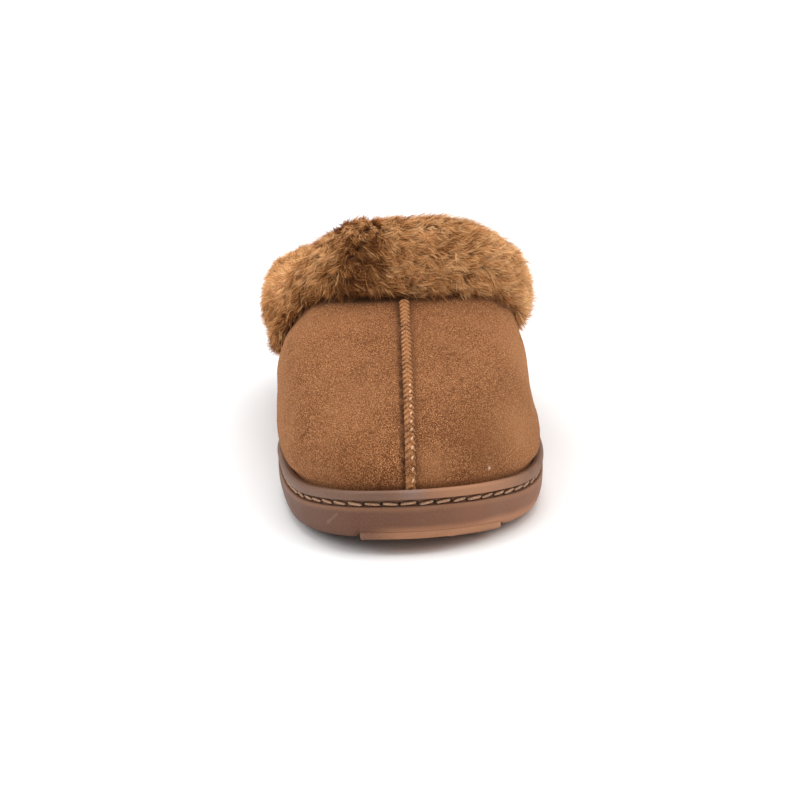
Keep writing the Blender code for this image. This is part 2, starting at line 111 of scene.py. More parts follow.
def new_object(name, mesh):
    """Links a bmesh as a smooth object of the scene."""
    data = bpy.data.meshes.new(name)
    mesh.to_mesh(data)
    mesh.free()
    data.shade_smooth()
    made = bpy.data.objects.new(name, data)
    bpy.context.scene.collection.objects.link(made)
    return made


def new_material(name, colour, roughness, gloss=0.5, sheen=0.0):
    """A Principled material with its plain colour, roughness, gloss and sheen."""
    material = bpy.data.materials.new(name)
    material.use_nodes = True
    shader = material.node_tree.nodes["Principled BSDF"]
    shader.inputs["Base Color"].default_value = (*colour, 1)
    shader.inputs["Roughness"].default_value = roughness
    shader.inputs["Specular IOR Level"].default_value = gloss
    shader.inputs["Sheen Weight"].default_value = sheen
    return material


mesh = bmesh.new()
bmesh.ops.create_grid(mesh, x_segments=1, y_segments=1, size=FLOOR_SIZE)
floor = new_object("floor", mesh)
floor.data.materials.append(new_material("White sweep", FLOOR_WHITE, 0.9))
floor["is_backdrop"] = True

for name, place, size, power, colour in LAMPS:
    lamp = bpy.data.lights.new(name, "AREA")
    lamp.size = size
    lamp.energy = power
    lamp.color = colour
    made = bpy.data.objects.new(name, lamp)
    made.location = place
    made.rotation_euler = (aim - made.location).to_track_quat("-Z", "Y").to_euler()
    bpy.context.scene.collection.objects.link(made)
world = bpy.data.worlds.new("tent")
world.use_nodes = True
tent = world.node_tree.nodes["Background"]
tent.inputs["Color"].default_value = (1, 1, 1, 1)
tent.inputs["Strength"].default_value = TENT_STRENGTH
bpy.context.scene.world = world


# Sole.
# One moulded cup of brown rubber, with a lip, a sunk stitch groove under it and a
# side wall that is sprayed darker than the gum colour along its foot.
MERGE_DISTANCE = 1e-5
QUAD_FACE_ANGLE = math.radians(50)
QUAD_SHAPE_ANGLE = math.radians(70)
CREASE = 0.85
SOLE_CORNER = 24
SURFACE_LEVELS = 2
FIT_ROUNDS = 3
LIP_HEIGHT = 0.0036
GROOVE_HEIGHT = 0.0028
LIP_INSETS = (0.0006, 0.0022)
EDGE_HEIGHT = 0.011
EDGE_LIFT = 0.0011
EDGE_STEPS = 180
FOOT_INSET = 0.0052
FOOT_SMOOTH = 9
RAY_OUTSIDE = 0.3
RAY_ABOVE = 0.2
RAY_BELOW = -0.05
TAUPE_DARK = (0.084, 0.030, 0.0145)
TAUPE_LIGHT = (0.242, 0.099, 0.049)
TAN_SPRAY_AND_LIGHT = (0.365, 0.170, 0.085)
GUM = (0.420, 0.188, 0.092)
LIP_BROWN = (0.160, 0.080, 0.048)
GROOVE_BROWN = (0.165, 0.078, 0.042)
GREY_LILAC = (0.225, 0.150, 0.135)
GREY_LILAC_PLACE = (-0.0070, -0.1312, 0.0260)
GREY_LILAC_SIZE = 0.008
SPECKLE = (0.42, 0.28, 0.21)
SCRATCH = (0.30, 0.19, 0.13)
SCRATCH_START = Vector((-0.0382, -0.1200, 0.0108))
SCRATCH_END = (-0.0348, -0.1240, 0.0153)
SCRATCH_SPOTS = 6
SCRATCH_SIZE = 0.0011


def merged_copy(node):
    """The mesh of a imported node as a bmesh, its loose triangles merged into quads."""
    mesh = bmesh.new()
    mesh.from_mesh(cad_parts[node].data)
    bmesh.ops.remove_doubles(mesh, verts=mesh.verts, dist=MERGE_DISTANCE)
    bmesh.ops.join_triangles(
        mesh,
        faces=mesh.faces,
        angle_face_threshold=QUAD_FACE_ANGLE,
        angle_shape_threshold=QUAD_SHAPE_ANGLE,
    )
    return mesh


def crease_corners(mesh, angle):
    """Keeps the corners sharper than an angle when the mesh is subdivided."""
    layer = mesh.edges.layers.float.new("crease_edge")
    for edge in mesh.edges:
        if len(edge.link_faces) == 2 and edge.calc_face_angle() > math.radians(angle):
            edge[layer] = CREASE


def points_of(data, kind="co"):
    """A row of three numbers for each vertex: its place, or its "normal"."""
    values = np.empty(len(data.vertices) * 3)
    data.vertices.foreach_get(kind, values)
    return values.reshape(-1, 3)


def move_points(data, points):
    """Puts the vertices of a mesh at new places."""
    data.vertices.foreach_set("co", points.ravel())
    data.update()


def refined(name, mesh):
    """An object with the smooth surface that passes through a bmesh's points."""
    made = new_object(name, mesh)
    surface = made.modifiers.new("surface", "SUBSURF")
    surface.levels = surface.render_levels = SURFACE_LEVELS
    wanted = points_of(made.data)
    for _ in range(FIT_ROUNDS):
        graph = bpy.context.evaluated_depsgraph_get()
        reached = points_of(made.evaluated_get(graph).data)[: len(wanted)]
        move_points(made.data, points_of(made.data) + wanted - reached)
    graph = bpy.context.evaluated_depsgraph_get()
    finished = bpy.data.meshes.new_from_object(made.evaluated_get(graph))
    made.modifiers.clear()
    made.data = finished
    finished.shade_smooth()
    return made


def surface_tree(node):
    """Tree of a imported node's faces, for rays and nearest points."""
    mesh = bmesh.new()
    mesh.from_mesh(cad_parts[node].data)
    tree = BVHTree.FromBMesh(mesh)
    mesh.free()
    return tree


def wrap(material, piece):
    """Gives a piece its one material, and returns the piece."""
    piece.data.materials.clear()
    piece.data.materials.append(material)
    return piece


sole_tree = surface_tree("sole")
toe_tree = surface_tree("tread_toe")


def sole_edge(turn):
    """Outermost point of the side wall in one direction from the sole's middle."""
    middle = (sole_low + sole_high) / 2
    way = Vector((math.sin(turn), -math.cos(turn), 0))
    middle.z = sole_low.z + EDGE_HEIGHT
    return sole_tree.ray_cast(middle + way * RAY_OUTSIDE, -way)[0], way


def brim_at(edge, way):
    """Height of the lip's top behind a point of the side wall."""
    starts = [edge - way * inset + Vector((0, 0, RAY_ABOVE)) for inset in LIP_INSETS]
    tops = [sole_tree.ray_cast(start, Vector((0, 0, -1)))[0] for start in starts]
    return max(top.z for top in tops if top is not None)


def foot_at(edge, way):
    """Height of the sole's underside behind a point of the side wall."""
    start = Vector((edge.x, edge.y, RAY_BELOW)) - way * FOOT_INSET
    up = Vector((0, 0, 1))
    hit = toe_tree.ray_cast(start, up)[0]
    return hit.z if hit else sole_tree.ray_cast(start, up)[0].z - EDGE_LIFT


heights = []
for step in range(EDGE_STEPS + 1):
    edge, way = sole_edge(math.pi * step / EDGE_STEPS)
    heights.append((edge.y, brim_at(edge, way), foot_at(edge, way)))
heights = np.array(sorted(heights))
padded = np.pad(heights[:, 2], FOOT_SMOOTH, mode="edge")
window = np.ones(2 * FOOT_SMOOTH + 1) / (2 * FOOT_SMOOTH + 1)
heights[:, 2] = np.convolve(padded, window, mode="valid")


def brim_over(points):
    """Height of the lip's top beside each point."""
    return np.interp(points[:, 1], heights[:, 0], heights[:, 1])


def foot_under(points):
    """Height of the sole's foot beside each point."""
    return np.interp(points[:, 1], heights[:, 0], heights[:, 2])


def add_layer(data, name, values):
    """Stores one number for each vertex, for the material to read."""
    layer = data.attributes.new(name, "FLOAT", "POINT")
    layer.data.foreach_set("value", values.astype(np.float32))


def tag_heights(data):
    """Stores each point's height over the sole's foot and its depth under the brim."""
    points = points_of(data)
    add_layer(data, "rise", points[:, 2] - foot_under(points))
    add_layer(data, "drop", brim_over(points) - points[:, 2])


class Shade:
    """Short words to add and join the nodes of one material or group."""

    def __init__(self, tree):
        self.tree = tree

    def add(self, kind, *values, **settings):
        """A node with its first inputs fed and its settings made."""
        made = self.tree.nodes.new("ShaderNode" + kind)
        for setting, value in settings.items():
            setattr(made, setting, value)
        for socket, value in zip(made.inputs, values):
            self.feed(value, socket)
        return made

    def feed(self, value, socket):
        """Links a socket to another, or sets its constant."""
        if isinstance(value, bpy.types.NodeSocket):
            self.tree.links.new(value, socket)
        elif value is not None:
            socket.default_value = value

    def fade(self, value, low, high, start=0.0, end=1.0):
        """A smooth step of a value from low to high."""
        made = self.add("MapRange", interpolation_type="SMOOTHSTEP")
        for socket, number in zip(made.inputs, (value, low, high, start, end)):
            self.feed(number, socket)
        return made.outputs[0]

    def math(self, operation, *values):
        return self.add("Math", *values, operation=operation).outputs[0]

    def times(self, first, second):
        return self.math("MULTIPLY", first, second)

    def mix(self, factor, first, second):
        """From one colour to another."""
        made = self.add("Mix", data_type="RGBA")
        self.feed(factor, made.inputs[0])
        for socket, colour in zip(made.inputs[6:8], (first, second)):
            self.feed((*colour, 1) if isinstance(colour, tuple) else colour, socket)
        return made.outputs[2]

    def near(self, place, spot, size):
        """1 at one spot, fading to 0 at a distance from it."""
        away = self.add("VectorMath", place, spot, operation="DISTANCE").outputs["Value"]
        return self.fade(away, size, 0.0)

    def ramp(self, value, *stops):
        """A colour for each value, between the colours of the stops."""
        made = self.add("ValToRGB", value)
        elements = made.color_ramp.elements
        while len(elements) < len(stops):
            elements.new(0.5)
        for element, (place, colour) in zip(elements, stops):
            element.position = place
            element.color = (*colour, 1)
        return made.outputs[0]

    def attribute(self, name):
        """The numbers that a layer of the mesh stores."""
        return self.add("Attribute", attribute_name=name).outputs["Fac"]

    def bump(self, height, distance, strength=1.0):
        made = self.add("Bump")
        made.inputs["Strength"].default_value = strength
        made.inputs["Distance"].default_value = distance
        self.feed(height, made.inputs["Height"])
        return made.outputs[0]


def grain_group():
    """Fine grain and soft patches, which rubber, suede and plush all use."""
    group = bpy.data.node_groups.new("Grain and patches", "ShaderNodeTree")
    for name, value in (("Grain Scale", 900.0), ("Patch Scale", 40.0), ("Stretch", 1.0)):
        socket = group.interface.new_socket(name, in_out="INPUT", socket_type="NodeSocketFloat")
        socket.default_value = value
    for name in ("Grain", "Patch"):
        group.interface.new_socket(name, in_out="OUTPUT", socket_type="NodeSocketFloat")
    shade = Shade(group)
    given = group.nodes.new("NodeGroupInput")
    out = group.nodes.new("NodeGroupOutput")
    place = shade.add("TexCoord").outputs["Object"]
    stretch = shade.add("CombineXYZ", given.outputs["Stretch"], 1.0, 1.0).outputs[0]
    stretched = shade.add("VectorMath", place, stretch, operation="MULTIPLY").outputs[0]
    for name, vector, detail in (("Grain", stretched, 4.0), ("Patch", place, 3.0)):
        texture = shade.add("TexNoise")
        shade.feed(vector, texture.inputs["Vector"])
        shade.feed(given.outputs[name + " Scale"], texture.inputs["Scale"])
        texture.inputs["Detail"].default_value = detail
        shade.feed(texture.outputs[0], out.inputs[name])
    return group


GRAIN = grain_group()


def add_grain(shade, grain_scale, patch_scale, stretch=1.0):
    """The two outputs of the grain group at their scales."""
    made = shade.add("Group", node_tree=GRAIN)
    for socket, value in zip(made.inputs, (grain_scale, patch_scale, stretch)):
        socket.default_value = value
    return made.outputs["Grain"], made.outputs["Patch"]


def principled(material):
    """The inputs of a material's Principled shader."""
    return material.node_tree.nodes["Principled BSDF"].inputs


rubber = new_material("Sprayed rubber", TAUPE_DARK, 0.6, gloss=0.35)
shade = Shade(rubber.node_tree)
grain, patch = add_grain(shade, 1500.0, 28.0)
place = shade.add("TexCoord").outputs["Object"]
across, along = shade.add("SeparateXYZ", place).outputs[:2]
rise, drop = shade.attribute("rise"), shade.attribute("drop")
# Painted light: the wall is coloured lighter toward the right side, where more light falls.
outer = shade.fade(across, -0.035, 0.045)
wall_tone = shade.math("MULTIPLY_ADD", patch, 0.5, shade.times(outer, 0.6))
wall = shade.mix(wall_tone, TAUPE_DARK, TAUPE_LIGHT)
front = shade.fade(along, sole_low.y + 0.045, sole_low.y + 0.008)
# Painted light: the front of the lip is coloured tan toward the right, where more light falls; the random
# tan patches are the lip's own colour.
lit_right_lip = shade.times(shade.fade(across, -0.022, 0.012), front)
lip_tone = shade.math("MAXIMUM", lit_right_lip, shade.fade(patch, 0.52, 0.72, 0.0, 0.5))
lip = shade.mix(lip_tone, LIP_BROWN, TAN_SPRAY_AND_LIGHT)
# A soft grey-lilac spot on the top of the lip at the toe.
grey_lilac_spot = shade.times(shade.near(place, GREY_LILAC_PLACE, GREY_LILAC_SIZE), 0.7)
lip = shade.mix(grey_lilac_spot, lip, GREY_LILAC)
on_lip = shade.fade(drop, LIP_HEIGHT + 0.0006, LIP_HEIGHT - 0.0002)
body = shade.mix(on_lip, wall, lip)
under_lip = shade.times(shade.fade(drop, 0.0088, 0.0066), shade.fade(drop, 0.0058, 0.0066))
body = shade.mix(shade.times(under_lip, 0.35), body, TAN_SPRAY_AND_LIGHT)
groove_foot = LIP_HEIGHT + GROOVE_HEIGHT
in_groove = shade.times(
    shade.fade(drop, LIP_HEIGHT - 0.0001, LIP_HEIGHT + 0.0003),
    shade.fade(drop, groove_foot, groove_foot - 0.0005),
)
body = shade.mix(in_groove, body, GROOVE_BROWN)
spray_edge = shade.math("MULTIPLY_ADD", patch, 0.0022, rise)
right_foot = shade.fade(across, -0.026, -0.008)
foot_tone = shade.times(shade.fade(spray_edge, 0.0086, 0.0048), right_foot)
body = shade.mix(foot_tone, body, GUM)
body = shade.mix(shade.times(shade.fade(grain, 0.35, 0.70), 0.07), body, SPECKLE)
for share in np.linspace(0, 1, SCRATCH_SPOTS):
    spot = SCRATCH_START.lerp(SCRATCH_END, share)
    body = shade.mix(shade.times(shade.near(place, spot, SCRATCH_SIZE), 0.45), body, SCRATCH)
shade.feed(body, principled(rubber)["Base Color"])
shade.feed(shade.fade(patch, 0.3, 0.7, 0.50, 0.66), principled(rubber)["Roughness"])
shade.feed(shade.bump(grain, 0.00015, 0.3), principled(rubber)["Normal"])

mesh = merged_copy("sole")
crease_corners(mesh, SOLE_CORNER)
sole = refined("sole_cup", mesh)
tag_heights(sole.data)
wrap(rubber, sole)
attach(sole, "root")
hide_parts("sole")


# Treads.
# Gum rubber plates, moulded apart and cemented into the foot of the sole. The front
# one shows as an orange crescent between two notches, sprayed over at its left end.
TREAD_FIT = 0.00025
TREAD_TOP = 0.0022
TREAD_CORNER = 40
GUM_DARK = (0.290, 0.119, 0.053)
GUM_LIGHT = (0.490, 0.228, 0.110)
GUM_DUST = (0.62, 0.42, 0.30)
OVERSPRAY = (0.150, 0.063, 0.033)

gum = new_material("Gum rubber", GUM, 0.5, gloss=0.4)
shade = Shade(gum.node_tree)
grain, patch = add_grain(shade, 1100.0, 45.0)
tone = shade.mix(patch, GUM_DARK, GUM_LIGHT)
across = shade.add("SeparateXYZ", shade.add("TexCoord").outputs["Object"]).outputs[0]
overspray = shade.times(shade.fade(across, -0.008, -0.025), 0.85)
tone = shade.mix(overspray, tone, OVERSPRAY)
dust = shade.times(shade.fade(grain, 0.45, 0.75), 0.12)
shade.feed(shade.mix(dust, tone, GUM_DUST), principled(gum)["Base Color"])
shade.feed(shade.fade(grain, 0.3, 0.7, 0.42, 0.60), principled(gum)["Roughness"])
shade.feed(shade.bump(grain, 0.0002, 0.5), principled(gum)["Normal"])

mesh = merged_copy("tread_toe")
crease_corners(mesh, TREAD_CORNER)
toe_tread = refined("toe_tread", mesh)
points = points_of(toe_tread.data)
points[:, 2] += TREAD_FIT * (points[:, 2] > foot_under(points) + TREAD_TOP)
move_points(toe_tread.data, points)
wrap(gum, toe_tread)
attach(toe_tread, "root")
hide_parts("tread_toe")
for name in ("tread_forefoot", "tread_heel"):
    wrap(gum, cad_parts[name])


# Groove stitches.
# Waxed thread laid along the groove in long slanted stitches, with a dark bead of painted
# shade at the needle hole where one ends and the next begins.
STITCH_PITCH = 0.0067
STITCH_LENGTH = 0.0060
STITCH_THICK = 0.00062
STITCH_SLANT = 0.16
STITCH_SEED = 17
LEFT_SLANT = -0.75
STITCH_SEAT = 0.0007
HOLE_SEAT = 0.0001
HOLE_SIZES = (0.0006, 0.0007, 0.0003)
HOLE_DARK = (0.018, 0.008, 0.005)
HOLE_LIGHT = (0.050, 0.022, 0.012)
THREAD_DARK = (0.250, 0.118, 0.058)
THREAD_LIGHT = (0.500, 0.285, 0.165)
THREAD_WAX = (0.760, 0.540, 0.370)
GROOVE_STEPS = 720
GROOVE_CLEAR = 0.02
WAY_STEP = 0.001


def running_lengths(path):
    """Length along a path at each of its points."""
    lengths = [0.0]
    for before, after in zip(path, path[1:]):
        lengths.append(lengths[-1] + (after - before).length)
    return lengths


def at_length(run, runs, rows):
    """The vector at one length, between the rows that stand at the known lengths."""
    return Vector([np.interp(run, runs, rows[:, axis]) for axis in range(3)])


groove_path = []
for step in range(GROOVE_STEPS):
    edge, way = sole_edge(2 * math.pi * step / GROOVE_STEPS)
    top = brim_at(edge, way)
    start = Vector((edge.x, edge.y, top - LIP_HEIGHT - GROOVE_HEIGHT / 2))
    groove_path.append(sole_tree.ray_cast(start + way * GROOVE_CLEAR, -way)[0])
groove_path.append(groove_path[0])
lengths = running_lengths(groove_path)
groove_rows = np.array([tuple(point) for point in groove_path])


def on_groove(run):
    """Point of the groove's bed at a length along it."""
    return at_length(run % lengths[-1], lengths, groove_rows)


def bead(mesh, place, along, outward, sizes, sides=8, rings=6, blunt=1.0):
    """A long bead of the three sizes along, across and outward, blunt under 1 at its ends."""
    across = outward.cross(along).normalized()
    outward = along.cross(across).normalized()
    frame_of_bead = Matrix((along, across, outward)).transposed().to_4x4()
    frame_of_bead.translation = place
    shape = frame_of_bead @ Matrix.Diagonal((*sizes, 1))
    turned = Matrix.Rotation(math.pi / 2, 4, "Y")
    made = bmesh.ops.create_uvsphere(
        mesh, u_segments=sides, v_segments=rings, radius=1.0, matrix=turned
    )
    for vert in made["verts"]:
        x, y, z = vert.co
        round_part = max(math.hypot(y, z), 1e-6)
        widen = round_part ** (blunt - 1)
        vert.co = shape @ Vector((math.copysign(abs(x) ** blunt, x), y * widen, z * widen))


mesh = bmesh.new()
holes = bmesh.new()
jitter = np.random.default_rng(STITCH_SEED)
count = round(lengths[-1] / STITCH_PITCH)
pitch = lengths[-1] / count
for i in range(count):
    middle = on_groove(i * pitch)
    along = (on_groove(i * pitch + WAY_STEP) - on_groove(i * pitch - WAY_STEP)).normalized()
    outward = along.cross(Vector((0, 0, 1))).normalized()
    slant = STITCH_SLANT * (1 if middle.x > aim.x else LEFT_SLANT) + jitter.uniform(-0.05, 0.05)
    along = (along + Vector((0, 0, slant))).normalized()
    long = STITCH_LENGTH / 2 * jitter.uniform(0.90, 1.04)
    thick = STITCH_THICK * jitter.uniform(0.85, 1.1)
    middle.z += jitter.uniform(-0.00012, 0.00012)
    seat = middle + outward * STITCH_SEAT
    bead(mesh, seat, along, outward, (long, thick, thick), 10, 10, 0.65)
    gap = on_groove((i + 0.5) * pitch)
    bead(holes, gap + outward * HOLE_SEAT, along, outward, HOLE_SIZES)

thread = new_material("Waxed thread", (0.42, 0.24, 0.14), 0.6, gloss=0.4)
shade = Shade(thread.node_tree)
grain, patch = add_grain(shade, 2200.0, 160.0)
tone = shade.mix(patch, THREAD_DARK, THREAD_LIGHT)
tone = shade.mix(shade.fade(grain, 0.50, 0.66, 0.0, 0.7), tone, THREAD_WAX)
shade.feed(tone, principled(thread)["Base Color"])
shade.feed(shade.fade(grain, 0.3, 0.7, 0.45, 0.75), principled(thread)["Roughness"])
shade.feed(shade.bump(grain, 0.0002, 0.7), principled(thread)["Normal"])
stitches = wrap(thread, new_object("groove_stitches", mesh))
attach(stitches, "root")

# Painted shade: the dark beads stand in for the shade inside the needle holes.
hole_shade = new_material("Needle hole shade", (0.030, 0.012, 0.007), 0.9)
shade = Shade(hole_shade.node_tree)
_, patch = add_grain(shade, 1500.0, 200.0)
shade.feed(shade.mix(patch, HOLE_DARK, HOLE_LIGHT), principled(hole_shade)["Base Color"])
needle_hole_shade = wrap(hole_shade, new_object("needle_hole_shade", holes))
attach(needle_hole_shade, "root")


# Upper.
# Faux suede on a plush lining, cut in two panels that meet at the middle seam. It is
# tucked behind the sole's lip, and swells out over it at the sides.
TROUGHS = (
    # start x, start y, end x, end y, width, depth
    (0.018, -0.118, 0.038, -0.098, 0.0090, 0.0008),
    (0.010, -0.060, 0.030, -0.075, 0.0060, 0.0006),
    (-0.036, -0.100, -0.020, -0.118, 0.0080, 0.0007),
    (-0.030, -0.062, -0.014, -0.072, 0.0060, 0.0006),
    (0.046, -0.030, 0.049, -0.066, 0.0070, 0.0005),
    (0.047, -0.010, 0.049, -0.038, 0.0050, 0.0005),
    (-0.046, -0.030, -0.050, -0.064, 0.0070, 0.0004),
    (-0.046, -0.008, -0.049, -0.036, 0.0050, 0.0004),
)
TROUGH_FLOOR = 0.03
RIM_SHARE = 0.5
RIM_AWAY = 1.7
RIM_WIDTH = 0.7
SEAM_VALLEY = 0.0042
VALLEY_AWAY = 0.0025
VALLEY_DEPTH = 0.0007
SEAM_STEPS = 23
SEAM_PAST = 0.01
FUR_SHADE = 0.0035
BULGE = 0.0030
BULGE_FOOT = -0.0002
BULGE_FULL = 0.0040
BULGE_TOP = 0.025
BULGE_FRONT = -0.100
BULGE_BACK = 0.050
BRUSH_DARK = (0.190, 0.0665, 0.0235)
BRUSH_LIGHT = (0.274, 0.106, 0.040)
CREASE_SHADE_LEFT = (0.045, 0.015, 0.006)
CREASE_SHADE_RIGHT = (0.100, 0.036, 0.014)
LIP_SHADE = (0.110, 0.042, 0.017)
GAP_SHADE = (0.022, 0.007, 0.003)

upper_tree = surface_tree("upper")
seam_points = points_of(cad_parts["center_seam"].data)
seam_low, seam_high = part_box("center_seam")
chord = Vector((0, seam_high.y - seam_low.y, seam_high.z - seam_low.z))
run = (seam_points - np.array(seam_low)) @ np.array(chord.normalized())
seam_knots = []
for start in np.linspace(0, chord.length, SEAM_STEPS + 1)[:-1]:
    near = seam_points[(run >= start) & (run < start + chord.length / SEAM_STEPS)]
    if len(near):
        seam_knots.append(near.mean(axis=0))
seam_knots = np.array(seam_knots)


def from_seam(points):
    """How far each point of the vamp lies to the outer side of the middle seam."""
    middle = np.interp(points[:, 1], seam_knots[:, 1], seam_knots[:, 0])
    return np.where(points[:, 1] < seam_high.y + SEAM_PAST, points[:, 0] - middle, 1.0)


def trough_depths(points):
    """How far each point sinks into the creases and the valley beside the seam."""
    sunk = np.zeros(len(points))
    for x0, y0, x1, y1, width, depth in TROUGHS:
        way = np.array((x1 - x0, y1 - y0))
        share = np.clip(((points[:, :2] - (x0, y0)) @ way) / (way @ way), 0, 1)
        away = np.linalg.norm(points[:, :2] - (x0, y0) - share[:, None] * way, axis=1)
        sunk += depth * np.exp(-((away / width) ** 2))
        past_rim = (away - RIM_AWAY * width) / (RIM_WIDTH * width)
        sunk -= RIM_SHARE * depth * np.exp(-(past_rim**2))
    past_valley = (np.abs(from_seam(points)) - VALLEY_AWAY) / SEAM_VALLEY
    sunk += VALLEY_DEPTH * np.exp(-(past_valley**2))
    return sunk


def smooth_step(values, low, high):
    """0 at the low value and 1 at the high one, with a smooth rise between them."""
    share = np.clip((values - low) / (high - low), 0, 1)
    return share * share * (3 - 2 * share)


def bulge_out(points, normals):
    """How far the outer wall swells sideways, where the padded suede rests on the lip."""
    over_lip = points[:, 2] - brim_over(points)
    swell = smooth_step(over_lip, BULGE_FOOT, BULGE_FULL)
    swell *= smooth_step(over_lip, BULGE_TOP, BULGE_FULL)
    swell *= smooth_step(points[:, 1], BULGE_FRONT - 0.02, BULGE_FRONT + 0.01)
    swell *= smooth_step(points[:, 1], BULGE_BACK + 0.03, BULGE_BACK)
    return BULGE * swell * smooth_step(normals[:, 0] * np.sign(points[:, 0]), 0.25, 0.85)


upper = refined("upper_shell", merged_copy("upper"))
points, normals = points_of(upper.data), points_of(upper.data, "normal")
sinking = trough_depths(points) * (points[:, 2] > TROUGH_FLOOR)
points -= normals * sinking[:, None]
points[:, 0] += np.sign(points[:, 0]) * bulge_out(points, normals)
move_points(upper.data, points)

# Painted light and shade: broad lighter and darker patches where light and shade fall on the vamp; the
# last, small spot is a pale fleck on the suede.
SHADE_LIGHT_AND_FLECK_SPOTS = (
    # place, size, amount, colour
    ((0.0204, -0.1128, 0.0387), 0.020, 0.50, (0.170, 0.062, 0.021)),
    ((-0.0285, -0.1185, 0.0325), 0.020, 0.30, (0.150, 0.052, 0.017)),
    ((0.0015, -0.1255, 0.0330), 0.012, 0.45, (0.430, 0.195, 0.085)),
    ((-0.0279, -0.1009, 0.0508), 0.024, 0.18, (0.430, 0.195, 0.085)),
    ((0.0376, -0.0934, 0.0359), 0.024, 0.45, (0.460, 0.210, 0.092)),
    ((0.0460, -0.0600, 0.0520), 0.026, 0.45, (0.460, 0.210, 0.092)),
    ((0.0235, -0.1144, 0.0280), 0.0012, 0.90, (0.800, 0.600, 0.450)),
)
SUEDE_DARK = (0.092, 0.028, 0.008)
SUEDE_MIDDLE = (0.300, 0.122, 0.048)
SUEDE_LIGHT = (0.530, 0.250, 0.112)
suede = new_material("Faux suede", SUEDE_MIDDLE, 0.95, gloss=0.08, sheen=0.50)
principled(suede)["Sheen Tint"].default_value = (1.0, 0.50, 0.24, 1)
principled(suede)["Sheen Roughness"].default_value = 0.45
shade = Shade(suede.node_tree)
grain, patch = add_grain(shade, 1700.0, 36.0, 1.5)
fine, spots = add_grain(shade, 3000.0, 300.0, 0.8)
brushed = shade.fade(patch, 0.32, 0.68)
tone = shade.mix(brushed, BRUSH_DARK, BRUSH_LIGHT)
fleck = shade.math("ADD", shade.times(grain, 0.40), shade.times(fine, 0.60))
tone = shade.mix(shade.fade(fleck, 0.502, 0.43), tone, SUEDE_DARK)
tone = shade.mix(shade.fade(fleck, 0.515, 0.59), tone, SUEDE_LIGHT)
tone = shade.mix(shade.fade(spots, 0.56, 0.72, 0.0, 0.6), tone, SUEDE_DARK)
beside = shade.attribute("from_seam")
# Painted shade in the creases beside the seam: dark and broken up on its left, fainter on its right.
left_crease_shade = shade.times(
    shade.fade(beside, -0.0044, -0.0026), shade.fade(beside, 0.0, -0.0018)
)
left_shade_depth = shade.fade(spots, 0.38, 0.62, 0.55, 0.95)
tone = shade.mix(shade.times(left_crease_shade, left_shade_depth), tone, CREASE_SHADE_LEFT)
right_crease_shade = shade.times(
    shade.fade(beside, 0.0046, 0.0028), shade.fade(beside, 0.0, 0.0020)
)
tone = shade.mix(shade.times(right_crease_shade, 0.4), tone, CREASE_SHADE_RIGHT)
by_lip = shade.fade(shade.attribute("drop"), -0.0032, -0.0008, 0.0, 0.55)
tone = shade.mix(by_lip, tone, LIP_SHADE)
gap_depth = shade.fade(beside, 0.006, -0.006, 0.35, 0.98)
under_fur = shade.fade(shade.attribute("by_fur"), 0.10, 0.45)
in_gap = shade.times(under_fur, shade.fade(beside, -0.040, -0.028))
tone = shade.mix(shade.times(in_gap, gap_depth), tone, GAP_SHADE)
place = shade.add("TexCoord").outputs["Object"]
# Painted light and shade patches, and one pale fleck.
for spot, size, amount, colour in SHADE_LIGHT_AND_FLECK_SPOTS:
    tone = shade.mix(shade.times(shade.near(place, spot, size), amount), tone, colour)
shade.feed(tone, principled(suede)["Base Color"])
shade.feed(shade.bump(fleck, 0.0009, 0.8), principled(suede)["Normal"])
tag_heights(upper.data)
fur_tree = surface_tree("fur_collar")
reach = [fur_tree.find_nearest(Vector(point), FUR_SHADE)[3] for point in points]
near_fur = np.array([1.0 - away / FUR_SHADE if away is not None else 0.0 for away in reach])
add_layer(upper.data, "from_seam", from_seam(points))
add_layer(upper.data, "by_fur", near_fur)
wrap(suede, upper)
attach(upper, "root")
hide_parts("upper")


# Middle seam.
# The two panels are joined by a cord under close whip stitches, which lie on it as a
# plait of chevrons.
CHEVRON_PITCH = 0.0029
CHEVRON_ASIDE = 0.0009
CHEVRON_STEEP = 1.25
CHEVRON_SIZES = (0.0016, 0.00070, 0.00062)
CORD_WIDTH = 0.0021
CORD_HEIGHT = 0.0014
CORD_SEAT = 0.0001
CORE_SIZES = (CHEVRON_PITCH * 0.8, CORD_WIDTH * 0.9, CORD_HEIGHT * 0.66)
HEAD_PAST = 1.3
TAIL_PAST = 0.005
TURN_STEP = 0.003
GLINT_PITCH = 0.0040
GLINT_START = 0.0015
GLINT_ASIDE = 0.0007
GLINT_LEAN = 0.4
GLINT_SIZES = (0.0009, 0.00045, 0.0003)
GLINT_SHARE = 0.50
CORD_DARK = (0.190, 0.066, 0.020)
CORD_LIGHT = (0.360, 0.146, 0.050)
CORD_FIBRE = (0.56, 0.30, 0.14)
GLINT_DARK = (0.42, 0.21, 0.10)
GLINT_LIGHT = (0.78, 0.52, 0.33)

cord_path = []
head = seam_knots[0] + (seam_knots[0] - seam_knots[1]) * HEAD_PAST
for knot in (head, *seam_knots):
    place, normal, _, _ = upper_tree.find_nearest(Vector(knot))
    cord_path.append((place, normal))
tail, tail_normal = cord_path[-1]
tail_way = (tail - cord_path[-2][0]).normalized()
cord_path.append((upper_tree.find_nearest(tail + tail_way * TAIL_PAST)[0], tail_normal))
cord_runs = running_lengths([place for place, _ in cord_path])
cord_places = np.array([tuple(place) for place, _ in cord_path])
cord_normals = np.array([tuple(normal) for _, normal in cord_path])


def on_cord(run):
    """Place, direction up the vamp and outward normal at a length along the seam."""
    before = at_length(run - TURN_STEP, cord_runs, cord_places)
    after = at_length(run + TURN_STEP, cord_runs, cord_places)
    normal = at_length(run, cord_runs, cord_normals).normalized()
    return at_length(run, cord_runs, cord_places), (after - before).normalized(), normal


